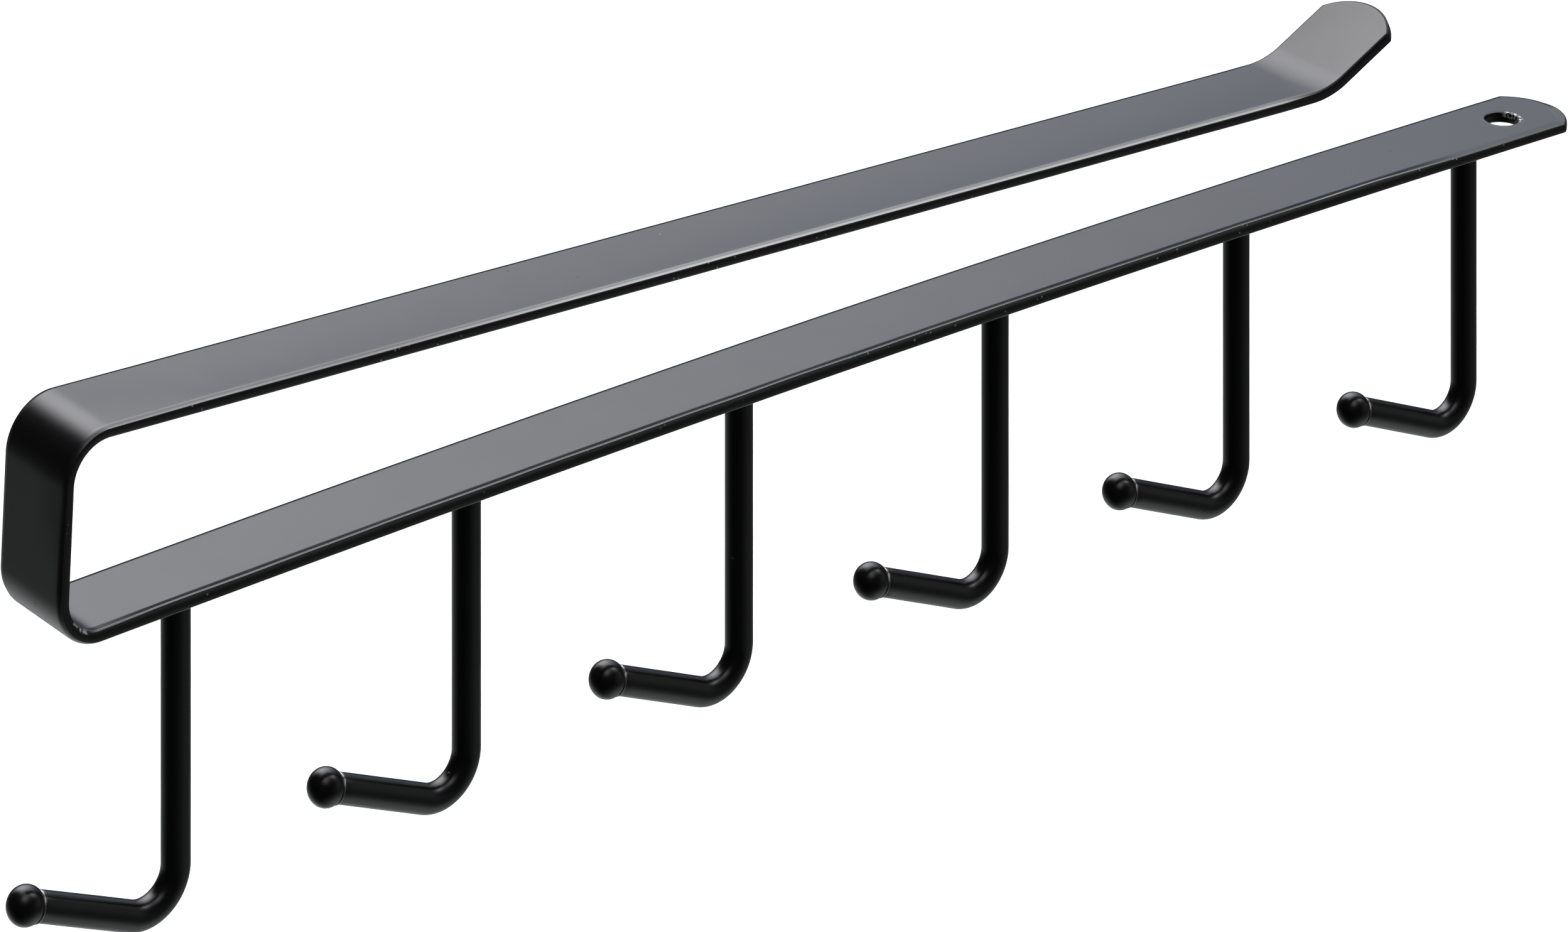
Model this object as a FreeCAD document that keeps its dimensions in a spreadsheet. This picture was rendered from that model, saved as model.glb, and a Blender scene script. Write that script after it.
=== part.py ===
"""Under-shelf hook rack: a flat steel strip bent into a long U, with six rod hooks under it.

The U grips a shelf board: the lower arm lies under the board, the upper arm springs down on
top of it, and one screw through the lower arm locks the rack. Millimetres, +Z up.

Origin: the crown of the lower arm's gentle bow, on the face that bears against the board,
at the middle of the row of hooks. +X runs from the bent end to the open end of the U.
Sizes are over the powder coat: 15 x 1.5 flat bar and 4 mm wire, each with about 0.1 mm a side.
"""
import FreeCAD, Part
import math
import os
import re

import Sketcher

V = FreeCAD.Vector
HOOK_COUNT = 6
CROSSWISE = V(0, 1, 0)

DIMENSIONS = {
    # flat strip
    "strip_width": 15.3,
    "strip_thickness": 1.7,
    "edge_round": 0.22,
    # lower arm: a shallow bow, highest at its crown
    "bow_radius": 5600,
    "lower_end": 142,
    "lower_end_round": 9.2,
    "screw_hole_place": 131,
    "screw_hole_diameter": 5.4,
    # upright: bend radii are on the inner faces, and the upright leans towards the open end
    "lower_bend_place": 139.3,
    "lower_bend_radius": 5.1,
    "upright_lean": 2.9,
    "upper_bend_radius": 5.7,
    # upper arm, closing towards the lower one, and its raised lead-in tip
    "slot_gap": 18.4,
    "arm_slope": 2.36,
    "tip_bend_place": 82.9,
    "tip_bend_radius": 14,
    "tip_rise": 24.6,
    "tip_length": 14.1,
    "tip_round": 9.6,
    # rod hooks
    "rod_diameter": 4.2,
    "hook_pitch": 49,
    "hook_drop": 46.3,
    "hook_rise": 22.5,
    "hook_reach": 26.1,
    "hook_bend_radius": 5.5,
    # ball on the end of each hook: its seat is the flat where it meets the rod
    "ball_diameter": 5.4,
    "ball_seat": 1.95,
    # welds
    "weld_leg": 0.7,
    "bead_leg": 0.3,
    # trimming cuts reach this far past the strip
    "overcut": 1,
}

doc = FreeCAD.newDocument("shelf_hook_rack")


def make_sheet():
    """Write the driving dimensions into a spreadsheet, names in column A, values in B."""
    sheet = doc.addObject("Spreadsheet::Sheet", "Dimensions")
    for row, (name, value) in enumerate(DIMENSIONS.items(), start=1):
        sheet.set(f"A{row}", name)
        sheet.set(f"B{row}", str(value))
        sheet.setAlias(f"B{row}", name)
    doc.recompute()


def bind(target, prop, formula):
    """Let a property follow a formula in the sheet's aliases."""
    def qualified(match):
        name = match.group(0)
        return f"Dimensions.{name}" if name in DIMENSIONS else name
    target.setExpression(prop, re.sub(r"[a-z_]+", qualified, formula))


# ---------------------------------------------------------------- sketch helpers

def heading(degrees):
    """Unit vector at an angle from a sketch's first axis."""
    return V(math.cos(math.radians(degrees)), math.sin(math.radians(degrees)), 0)


def new_body(label):
    body = doc.addObject("PartDesign::Body", label)
    body.Label = label
    return body


def new_sketch(body, plane, name):
    """A sketch on one of the body's origin planes: XY_Plane, XZ_Plane or YZ_Plane."""
    sketch = body.newObject("Sketcher::SketchObject", f"{body.Name}_{name}")
    base = next(item for item in body.Origin.OriginFeatures if item.Role == plane)
    sketch.AttachmentSupport = [(base, "")]
    sketch.MapMode = "FlatFace"
    return sketch


def add_line(sketch, start, end):
    return sketch.addGeometry(Part.LineSegment(start, end), False)


def add_arc(sketch, centre, radius, start_degrees, end_degrees):
    circle = Part.Circle(centre, V(0, 0, 1), radius)
    arc = Part.ArcOfCircle(circle, math.radians(start_degrees), math.radians(end_degrees))
    return sketch.addGeometry(arc, False)


def rule(sketch, kind, *where):
    return sketch.addConstraint(Sketcher.Constraint(kind, *where))


def size(sketch, name, formula, first_value, kind, *where):
    """A named dimension of the sketch that follows a formula."""
    index = rule(sketch, kind, *where, first_value)
    sketch.renameConstraint(index, name)
    bind(sketch, f"Constraints.{name}", formula)


START, END, CENTRE = 1, 2, 3
ORIGIN = (-1, START)
VERTICAL_AXIS = -2


# ---------------------------------------------------------------- flat strip

def strip_outline(body):
    """Side view of the strip: the inner face from end to end, then the outer face back."""
    d = DIMENSIONS
    thick, bow = d["strip_thickness"], d["bow_radius"]
    low, high, tip = d["lower_bend_radius"], d["upper_bend_radius"], d["tip_bend_radius"]
    lean, slope, rise = d["upright_lean"], d["arm_slope"], d["tip_rise"]

    # centres of the bends, from the faces that each bend touches
    bow_centre = V(0, -bow, 0)
    low_centre = V(-d["lower_bend_place"], 0, 0)
    low_centre.y = math.sqrt((bow + low) ** 2 - low_centre.x ** 2) - bow
    inward, upward = heading(-lean), heading(90 - slope)
    to_plate = low_centre.dot(inward) + high - low
    to_arm = d["slot_gap"] - high
    turn = inward.x * upward.y - inward.y * upward.x
    high_centre = V((to_plate * upward.y - to_arm * inward.y) / turn,
                    (to_arm * inward.x - to_plate * upward.x) / turn, 0)
    tip_centre_rise = d["slot_gap"] + thick + tip
    tip_centre_x = d["tip_bend_place"] + (thick + tip) * upward.x
    tip_centre = V(tip_centre_x, (tip_centre_rise - tip_centre_x * upward.x) / upward.y, 0)
    touch = math.degrees(math.atan2(low_centre.y + bow, low_centre.x))
    open_end = math.degrees(math.acos(d["lower_end"] / bow))

    def point(centre, radius, degrees):
        return centre + heading(degrees) * radius

    sketch = new_sketch(body, "XZ_Plane", "outline")
    faces = {}
    for side, grow in (("inner", 0), ("outer", thick)):
        tip_radius = tip + thick - grow
        low_edge = point(low_centre, low + grow, 180 - lean)
        high_edge = point(high_centre, high + grow, 180 - lean)
        arm_start = point(high_centre, high + grow, 90 - slope)
        arm_end = point(tip_centre, tip_radius, 270 - slope)
        tip_start = point(tip_centre, tip_radius, 270 + rise)
        faces[side] = {
            "arm": add_arc(sketch, bow_centre, bow - grow, open_end, touch),
            "low": add_arc(sketch, low_centre, low + grow, 180 - lean, 180 + touch),
            "upright": add_line(sketch, low_edge, high_edge),
            "high": add_arc(sketch, high_centre, high + grow, 90 - slope, 180 - lean),
            "spring": add_line(sketch, arm_start, arm_end),
            "bend": add_arc(sketch, tip_centre, tip_radius, 270 - slope, 270 + rise),
            "tip": add_line(sketch, tip_start, tip_start + heading(rise) * d["tip_length"]),
        }
    inner, outer = faces["inner"], faces["outer"]
    for face in (inner, outer):
        rule(sketch, "Tangent", face["arm"], END, face["low"], END)
        rule(sketch, "Tangent", face["low"], START, face["upright"], START)
        rule(sketch, "Tangent", face["upright"], END, face["high"], END)
        rule(sketch, "Tangent", face["high"], START, face["spring"], START)
        rule(sketch, "Tangent", face["spring"], END, face["bend"], START)
        rule(sketch, "Tangent", face["bend"], END, face["tip"], START)
    for bend in ("arm", "low", "high", "bend"):
        rule(sketch, "Coincident", inner[bend], CENTRE, outer[bend], CENTRE)

    open_cap = add_line(sketch, V(d["lower_end"], -thick, 0), V(d["lower_end"], 0, 0))
    rule(sketch, "Coincident", outer["arm"], START, open_cap, START)
    rule(sketch, "Coincident", open_cap, END, inner["arm"], START)
    rule(sketch, "Vertical", open_cap)
    inner_tip = sketch.getPoint(inner["tip"], END)
    outer_tip = sketch.getPoint(outer["tip"], END)
    tip_cap = add_line(sketch, inner_tip, outer_tip)
    rule(sketch, "Coincident", inner["tip"], END, tip_cap, START)
    rule(sketch, "Coincident", tip_cap, END, outer["tip"], END)
    rule(sketch, "Perpendicular", tip_cap, inner["tip"])

    rule(sketch, "PointOnObject", inner["arm"], CENTRE, VERTICAL_AXIS)
    size(sketch, "bow_height", "bow_radius", bow, "DistanceY", inner["arm"], CENTRE, *ORIGIN)
    size(sketch, "bow", "bow_radius", bow, "Radius", inner["arm"])
    size(sketch, "open_end", "lower_end", d["lower_end"], "DistanceX", *ORIGIN, inner["arm"], START)
    size(sketch, "low_place", "lower_bend_place", d["lower_bend_place"],
         "DistanceX", inner["low"], CENTRE, *ORIGIN)
    size(sketch, "low_inner", "lower_bend_radius", low, "Radius", inner["low"])
    size(sketch, "low_outer", "lower_bend_radius + strip_thickness", low + thick,
         "Radius", outer["low"])
    size(sketch, "lean", "90 - upright_lean", math.radians(90 - lean), "Angle", inner["upright"])
    size(sketch, "high_inner", "upper_bend_radius", high, "Radius", inner["high"])
    size(sketch, "high_outer", "upper_bend_radius + strip_thickness", high + thick,
         "Radius", outer["high"])
    size(sketch, "slope", "-arm_slope", math.radians(-slope), "Angle", inner["spring"])
    size(sketch, "gap", "slot_gap", d["slot_gap"], "Distance", *ORIGIN, inner["spring"])
    size(sketch, "tip_place", "tip_bend_place", d["tip_bend_place"],
         "DistanceX", *ORIGIN, inner["bend"], START)
    size(sketch, "tip_under", "tip_bend_radius + strip_thickness", tip + thick,
         "Radius", inner["bend"])
    size(sketch, "tip_over", "tip_bend_radius", tip, "Radius", outer["bend"])
    size(sketch, "rise", "tip_rise", math.radians(rise), "Angle", inner["tip"])
    size(sketch, "tip_flat", "tip_length", d["tip_length"], "Distance", inner["tip"])
    return sketch


def end_trim(sketch, end, round_name):
    """Waste beyond a rounded end: outside an arc whose crown is on the first axis at `end`."""
    radius, over = DIMENSIONS[round_name], DIMENSIONS["overcut"]
    half = DIMENSIONS["strip_width"] / 2 + over
    centre = V(end - radius, 0, 0)
    sweep = math.degrees(math.asin(half / radius))
    far = end + over
    arc = add_arc(sketch, centre, radius, -sweep, sweep)
    corner = centre + heading(sweep) * radius
    top = add_line(sketch, corner, V(far, half, 0))
    back = add_line(sketch, V(far, half, 0), V(far, -half, 0))
    bottom = add_line(sketch, V(far, -half, 0), V(corner.x, -half, 0))
    rule(sketch, "Coincident", arc, END, top, START)
    rule(sketch, "Coincident", top, END, back, START)
    rule(sketch, "Coincident", back, END, bottom, START)
    rule(sketch, "Coincident", bottom, END, arc, START)
    rule(sketch, "Horizontal", top)
    rule(sketch, "Vertical", back)
    rule(sketch, "Horizontal", bottom)
    rule(sketch, "PointOnObject", arc, CENTRE, -1)
    size(sketch, "round", round_name, radius, "Radius", arc)
    size(sketch, "half", "strip_width / 2 + overcut", half, "DistanceY", *ORIGIN, arc, END)
    return arc, back


def cut(body, sketch, name, depth_formula):
    """Cut a sketch both ways through the strip, and make sure that metal came away."""
    before = body.Shape.Volume
    pocket = body.newObject("PartDesign::Pocket", f"{body.Name}_{name}")
    pocket.Profile = sketch
    pocket.SideType = "Symmetric"
    bind(pocket, "Length", depth_formula)
    doc.recompute()
    if body.Shape.Volume >= before:
        raise RuntimeError(f"{name} cut nothing")
    return pocket


def broad_face_rims(shape):
    """Edges around the strip's broad faces: not across it, not through it, not the hole's."""
    d = DIMENSIONS
    names = []
    for number, edge in enumerate(shape.Edges, start=1):
        box = edge.BoundBox
        across = box.XLength < 0.01 and box.ZLength < 0.01
        through = edge.Length < d["strip_thickness"] * 1.1
        if not (across or through or edge.isClosed()):
            names.append(f"Edge{number}")
    return names


def make_shelf_strip():
    """One strip: lower arm with the screw hole, upright, spring upper arm and lead-in tip."""
    body = new_body("shelf_strip")
    bar = body.newObject("PartDesign::Pad", "shelf_strip_bar")
    bar.Profile = strip_outline(body)
    bar.SideType = "Symmetric"
    bind(bar, "Length", "strip_width")
    doc.recompute()

    lower = new_sketch(body, "XY_Plane", "lower_end")
    arc, back = end_trim(lower, DIMENSIONS["lower_end"], "lower_end_round")
    size(lower, "place", "lower_end - lower_end_round",
         DIMENSIONS["lower_end"] - DIMENSIONS["lower_end_round"],
         "DistanceX", *ORIGIN, arc, CENTRE)
    size(lower, "far", "lower_end + overcut", DIMENSIONS["lower_end"] + DIMENSIONS["overcut"],
         "DistanceX", *ORIGIN, back, START)
    cut(body, lower, "lower_end_cut", "strip_thickness * 8")

    # the tip's trim lies in the tip's own plane, square to the raised flat
    tip = new_sketch(body, "XY_Plane", "tip_end")
    arc, back = end_trim(tip, 0, "tip_round")
    size(tip, "place", "tip_round", DIMENSIONS["tip_round"],
         "DistanceX", arc, CENTRE, *ORIGIN)
    size(tip, "far", "overcut", DIMENSIONS["overcut"], "DistanceX", *ORIGIN, back, START)
    tip.AttachmentOffset = FreeCAD.Placement(V(0, 0, 0), FreeCAD.Rotation(CROSSWISE, -1))
    bind(tip, "AttachmentOffset.Rotation.Angle", "-tip_rise")
    side = "(tip_bend_radius + strip_thickness)"
    centre_x = f"(tip_bend_place + {side} * sin(arm_slope * 1deg))"
    centre_z = (f"((slot_gap + {side} - {centre_x} * sin(arm_slope * 1deg))"
                " / cos(arm_slope * 1deg))")
    bind(tip, "AttachmentOffset.Base.x",
         f"{centre_x} + {side} * sin(tip_rise * 1deg) + tip_length * cos(tip_rise * 1deg)")
    bind(tip, "AttachmentOffset.Base.z",
         f"{centre_z} - {side} * cos(tip_rise * 1deg) + tip_length * sin(tip_rise * 1deg)")
    cut(body, tip, "tip_end_cut", "strip_thickness * 4")

    hole = new_sketch(body, "XY_Plane", "screw_hole")
    place, radius = DIMENSIONS["screw_hole_place"], DIMENSIONS["screw_hole_diameter"] / 2
    circle = hole.addGeometry(Part.Circle(V(place, 0, 0), V(0, 0, 1), radius), False)
    rule(hole, "PointOnObject", circle, CENTRE, -1)
    size(hole, "place", "screw_hole_place", place, "DistanceX", *ORIGIN, circle, CENTRE)
    size(hole, "bore", "screw_hole_diameter / 2", radius, "Radius", circle)
    cut(body, hole, "screw_hole_cut", "strip_thickness * 8")

    drilled = body.Tip
    rims = body.newObject("PartDesign::Fillet", "shelf_strip_rims")
    rims.Base = (drilled, broad_face_rims(drilled.Shape))
    bind(rims, "Radius", "edge_round")
    return body


# ---------------------------------------------------------------- rod hooks

def hook_x_formula(index):
    """Place of a hook along the row, which is centred on the crown."""
    return f"{index - (HOOK_COUNT - 1) / 2} * hook_pitch"


def hook_top_formula(index):
    """Height of a rod's top: it meets the bowed underside at the weld's outer edge."""
    reach = f"abs({hook_x_formula(index)}) + rod_diameter / 2 + weld_leg"
    return f"sqrt((bow_radius - strip_thickness)^2 - ({reach})^2) - bow_radius"


def place_hook_piece(piece, index):
    """Put a piece of hook number `index` at the top of its rod."""
    bind(piece, "Placement.Base.x", hook_x_formula(index))
    bind(piece, "Placement.Base.z", hook_top_formula(index))


def place_ball_piece(piece, index):
    """Put a piece at the ball's centre, its own axis pointing along the rod's arm."""
    piece.Placement.Rotation = FreeCAD.Rotation(CROSSWISE, 90)
    bind(piece, "Placement.Rotation.Angle", "90 + hook_rise")
    bind(piece, "Placement.Base.x",
         f"{hook_x_formula(index)} - hook_reach * cos(hook_rise * 1deg)")
    bind(piece, "Placement.Base.z",
         f"{hook_top_formula(index)} - hook_drop + hook_reach * sin(hook_rise * 1deg)")


def make_hook_rod(index):
    """Round rod: a straight leg down, one bend, and an arm rising towards the bent end."""
    d = DIMENSIONS
    body = new_body(f"hook_rod_{index + 1}")
    bend, rise = d["hook_bend_radius"], d["hook_rise"]
    corner = V(0, -d["hook_drop"], 0)
    setback = bend * math.tan(math.radians((90 + rise) / 2))
    leg_end = corner + V(0, setback, 0)
    along = heading(180 - rise)
    arm_start = corner + along * setback
    arm_end = corner + along * (d["hook_reach"] - d["ball_seat"])

    path = new_sketch(body, "XZ_Plane", "path")
    leg = add_line(path, V(0, 0, 0), leg_end)
    elbow = add_arc(path, leg_end - V(bend, 0, 0), bend, -90 - rise, 0)
    arm = add_line(path, arm_start, arm_end)
    crossing = path.addGeometry(Part.Point(corner), True)
    rule(path, "Coincident", leg, START, *ORIGIN)
    rule(path, "Vertical", leg)
    rule(path, "Tangent", leg, END, elbow, END)
    rule(path, "Tangent", elbow, START, arm, START)
    rule(path, "PointOnObject", crossing, START, VERTICAL_AXIS)
    rule(path, "PointOnObject", crossing, START, arm)
    size(path, "drop", "hook_drop", d["hook_drop"], "DistanceY", crossing, START, *ORIGIN)
    size(path, "elbow", "hook_bend_radius", bend, "Radius", elbow)
    size(path, "rise", "180 - hook_rise", math.radians(180 - rise), "Angle", arm)
    size(path, "reach", "hook_reach - ball_seat", d["hook_reach"] - d["ball_seat"],
         "Distance", crossing, START, arm, END)

    section = new_sketch(body, "XY_Plane", "section")
    radius = d["rod_diameter"] / 2
    circle = section.addGeometry(Part.Circle(V(0, 0, 0), V(0, 0, 1), radius), False)
    rule(section, "Coincident", circle, CENTRE, *ORIGIN)
    size(section, "radius", "rod_diameter / 2", radius, "Radius", circle)

    wire = body.newObject("PartDesign::AdditivePipe", f"{body.Name}_wire")
    wire.Profile = section
    wire.Spine = (path, ["Edge1", "Edge2", "Edge3"])
    place_hook_piece(body, index)
    return body


def make_ball_tip(index):
    """Ball with a small flat where it meets the end of the rod."""
    ball = doc.addObject("Part::Sphere", f"ball_tip_{index + 1}")
    ball.Label = ball.Name
    bind(ball, "Radius", "ball_diameter / 2")
    bind(ball, "Angle2", "asin(2 * ball_seat / ball_diameter)")
    place_ball_piece(ball, index)
    return ball


def revolve(body, sketch):
    ring = body.newObject("PartDesign::Revolution", f"{body.Name}_ring")
    ring.Profile = sketch
    ring.ReferenceAxis = (sketch, ["V_Axis"])
    ring.Angle = 360
    return ring


def make_hook_weld(index):
    """Weld collar around the top of a rod, against the underside of the strip."""
    d = DIMENSIONS
    body = new_body(f"hook_weld_{index + 1}")
    radius, leg = d["rod_diameter"] / 2, d["weld_leg"]
    section = new_sketch(body, "XZ_Plane", "section")
    corner, outside, below = V(radius, 0, 0), V(radius + leg, 0, 0), V(radius, -leg, 0)
    top = add_line(section, corner, outside)
    slant = add_line(section, outside, below)
    wall = add_line(section, below, corner)
    rule(section, "Coincident", top, END, slant, START)
    rule(section, "Coincident", slant, END, wall, START)
    rule(section, "Coincident", wall, END, top, START)
    rule(section, "PointOnObject", top, START, -1)
    rule(section, "Horizontal", top)
    rule(section, "Vertical", wall)
    size(section, "wall", "rod_diameter / 2", radius, "DistanceX", *ORIGIN, top, START)
    size(section, "wide", "weld_leg", leg, "Distance", top)
    size(section, "deep", "weld_leg", leg, "Distance", wall)
    revolve(body, section)
    place_hook_piece(body, index)
    return body


def make_ball_weld(index):
    """Weld bead filling the groove between a ball and the square end of its rod."""
    d = DIMENSIONS
    body = new_body(f"ball_weld_{index + 1}")
    rod, ball = d["rod_diameter"] / 2, d["ball_diameter"] / 2
    seat, leg = d["ball_seat"], d["bead_leg"]
    flat_edge = math.degrees(math.asin(seat / ball))
    toe = math.degrees(math.acos((rod + leg) / ball))
    section = new_sketch(body, "XZ_Plane", "section")
    on_ball = add_arc(section, V(0, 0, 0), ball, toe, flat_edge)
    inner_end = add_line(section, heading(flat_edge) * ball, V(rod, seat, 0))
    wall = add_line(section, V(rod, seat, 0), V(rod, seat + leg, 0))
    slant = add_line(section, V(rod, seat + leg, 0), heading(toe) * ball)
    rule(section, "Coincident", on_ball, CENTRE, *ORIGIN)
    rule(section, "Coincident", on_ball, END, inner_end, START)
    rule(section, "Coincident", inner_end, END, wall, START)
    rule(section, "Coincident", wall, END, slant, START)
    rule(section, "Coincident", slant, END, on_ball, START)
    rule(section, "Horizontal", inner_end)
    rule(section, "Vertical", wall)
    size(section, "ball", "ball_diameter / 2", ball, "Radius", on_ball)
    size(section, "seat", "ball_seat", seat, "DistanceY", *ORIGIN, wall, START)
    size(section, "rod", "rod_diameter / 2", rod, "DistanceX", *ORIGIN, wall, START)
    size(section, "leg", "bead_leg", leg, "Distance", wall)
    size(section, "toe", "rod_diameter / 2 + bead_leg", rod + leg,
         "DistanceX", *ORIGIN, on_ball, START)
    revolve(body, section)
    place_ball_piece(body, index)
    return body


# ---------------------------------------------------------------- build, check, write

def check(pieces):
    """Stop if any object failed to compute, or any piece isn't one sound solid."""
    for item in doc.Objects:
        if {"Invalid", "Error"} & set(item.State):
            raise RuntimeError(f"{item.Label} is {item.State}")
    for piece in pieces:
        shape = piece.Shape
        if shape.isNull() or not shape.isValid() or len(shape.Solids) != 1:
            raise RuntimeError(f"{piece.Label} has a bad shape")


def build():
    make_sheet()
    pieces = [make_shelf_strip()]
    for index in range(HOOK_COUNT):
        for make in (make_hook_rod, make_ball_tip, make_hook_weld, make_ball_weld):
            pieces.append(make(index))
    doc.recompute()
    check(pieces)
    os.makedirs("parts", exist_ok=True)
    for piece in pieces:
        piece.Shape.exportStep(f"parts/{piece.Label}.step")
        box = piece.Shape.BoundBox
        print(f"{piece.Label}: {piece.Shape.Volume:.1f} mm3, "
              f"x {box.XMin:.2f} to {box.XMax:.2f}, z {box.ZMin:.2f} to {box.ZMax:.2f}")


build()
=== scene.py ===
import math

import bmesh
import bpy
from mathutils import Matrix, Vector, noise


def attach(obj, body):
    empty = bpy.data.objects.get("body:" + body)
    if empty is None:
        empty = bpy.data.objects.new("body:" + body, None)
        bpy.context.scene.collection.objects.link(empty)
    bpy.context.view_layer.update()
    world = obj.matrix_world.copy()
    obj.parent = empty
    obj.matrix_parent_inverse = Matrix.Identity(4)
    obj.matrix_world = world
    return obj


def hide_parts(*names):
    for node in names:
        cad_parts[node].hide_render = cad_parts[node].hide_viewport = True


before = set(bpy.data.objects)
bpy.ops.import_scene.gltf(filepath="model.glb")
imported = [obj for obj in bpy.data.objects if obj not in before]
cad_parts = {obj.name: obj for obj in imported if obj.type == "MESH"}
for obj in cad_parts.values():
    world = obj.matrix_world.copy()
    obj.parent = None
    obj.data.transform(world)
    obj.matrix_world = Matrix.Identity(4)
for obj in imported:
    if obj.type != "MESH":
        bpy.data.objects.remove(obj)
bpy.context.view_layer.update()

# ------------------------------------------------------------------ node helpers


class Tree:
    """A node tree, with short ways to add and join nodes."""

    def __init__(self, owner):
        owner.use_nodes = True
        self.nodes, self.links = owner.node_tree.nodes, owner.node_tree.links
        self.nodes.clear()

    def add(self, kind, settings=(), **inputs):
        """A node; each input is a plain value or another node's output."""
        node = self.nodes.new(kind)
        for name, value in dict(settings).items():
            setattr(node, name, value)
        for name, value in inputs.items():
            self.feed(node.inputs[name.replace("_", " ")], value)
        return node

    def feed(self, socket, value):
        if isinstance(value, bpy.types.NodeSocket):
            self.links.new(value, socket)
        else:
            socket.default_value = value

    def maths(self, operation, *values):
        node = self.add("ShaderNodeMath", {"operation": operation})
        for socket, value in zip(node.inputs, values):
            self.feed(socket, value)
        return node.outputs[0]

    def vector(self, operation, *values, **inputs):
        node = self.add("ShaderNodeVectorMath", {"operation": operation}, **inputs)
        for socket, value in zip(node.inputs, values):
            self.feed(socket, value)
        return node.outputs[1 if operation == "DOT_PRODUCT" else 0]

    def step(self, value, low, high):
        """Smooth rise from 0 at `low` to 1 at `high`; falls if `low` is the larger."""
        limits = {"From_Min": min(low, high), "From_Max": max(low, high),
                  "To_Min": float(low > high), "To_Max": float(low < high)}
        node = self.add("ShaderNodeMapRange", {"interpolation_type": "SMOOTHSTEP"},
                        Value=value, **limits)
        return node.outputs["Result"]

    def noise(self, place, size, detail=2.0):
        """Noise from about 0.3 to 0.7, with features of a given size in millimetres."""
        node = self.add("ShaderNodeTexNoise", Vector=place, Scale=1 / size, Detail=detail)
        return node.outputs["Fac"]

    def dots(self, place, size, radius, share):
        """1 inside sparse round dots of up to `radius`: a `share` of the cells of a size have one,
        and a dot's own radius is 0.4 to 1.0 of the full one."""
        node = self.add("ShaderNodeTexVoronoi", Vector=place, Scale=1 / size, Randomness=1.0)
        pick = self.add("ShaderNodeSeparateColor", Color=node.outputs["Color"])
        chosen = self.maths("LESS_THAN", pick.outputs["Red"], share)
        full = radius / size
        reach = self.maths("MULTIPLY_ADD", pick.outputs["Green"], 0.6 * full, 0.4 * full)
        inside = self.step(self.maths("SUBTRACT", node.outputs["Distance"], reach),
                           0.35 * full, 0.0)
        return self.maths("MULTIPLY", inside, chosen)

    def mix(self, factor, first, second):
        node = self.add("ShaderNodeMix", {"data_type": "RGBA"})
        self.feed(node.inputs["Factor"], factor)
        for socket, value in zip([i for i in node.inputs if i.type == "RGBA"], (first, second)):
            self.feed(socket, value)
        return next(o for o in node.outputs if o.type == "RGBA")


def grey(level, blue=1.0):
    return level, level, level * blue, 1


# ------------------------------------------------------------------ powder coat


BLACKS = grey(0.0045, 1.08), grey(0.0075, 1.12)   # the coat's colour wanders between these
RUBBED_COLOUR, RUBBED_MIX = grey(0.10), 0.35
SPECK_COLOUR = grey(0.60)
CHIP_COLOUR, CHIP_METAL, CHIP_DEPTH = grey(0.72), 0.4, 0.06
PIMPLE_HEIGHT = 0.05
ROUGH_SPREAD, MARK_ROUGH = 0.09, 0.3
COARSE_PEEL = 2.2                                 # height of the coarse peel over the fine one
COAT_IOR, PAINTED_LIGHT_IOR = 1.5, 0.85                   # plain coat, and what full painted light adds: painted highlight, painted shade where negative


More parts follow.
